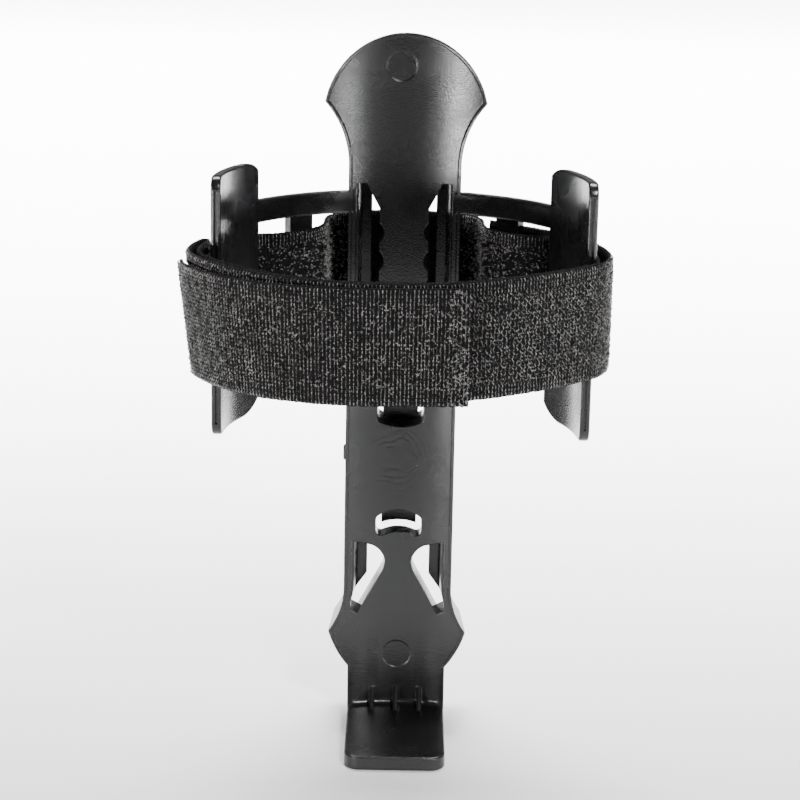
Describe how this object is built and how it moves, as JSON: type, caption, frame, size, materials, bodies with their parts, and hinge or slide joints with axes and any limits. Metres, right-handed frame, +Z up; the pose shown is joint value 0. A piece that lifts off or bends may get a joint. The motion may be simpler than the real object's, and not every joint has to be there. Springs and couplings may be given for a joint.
{
  "type": "bottle cage",
  "caption": "Moulded bottle cage with curved spine, side wings and foot shelf, held by a hook-and-loop strap; ties to a frame tube.",
  "frame": {"origin": "middle of the rear saddle line, where the cage touches the frame tube, half-way up the moulding", "axes": "+X to the right seen from the bottle's side, +Y towards the frame tube, +Z up along the spine"},
  "size_m": [0.0941, 0.0846, 0.1652],
  "materials": {
    "moulded_plastic": "black semi-gloss moulded plastic with a fine grain and glossy edges",
    "strap_fabric": "black knitted hook-and-loop tape with ribbed selvedges"
  },
  "bodies": {
    "root": {"cage_body": "moulded_plastic", "strap_tape": "strap_fabric", "strap_flap": "strap_fabric"}
  },
  "joints": []
}
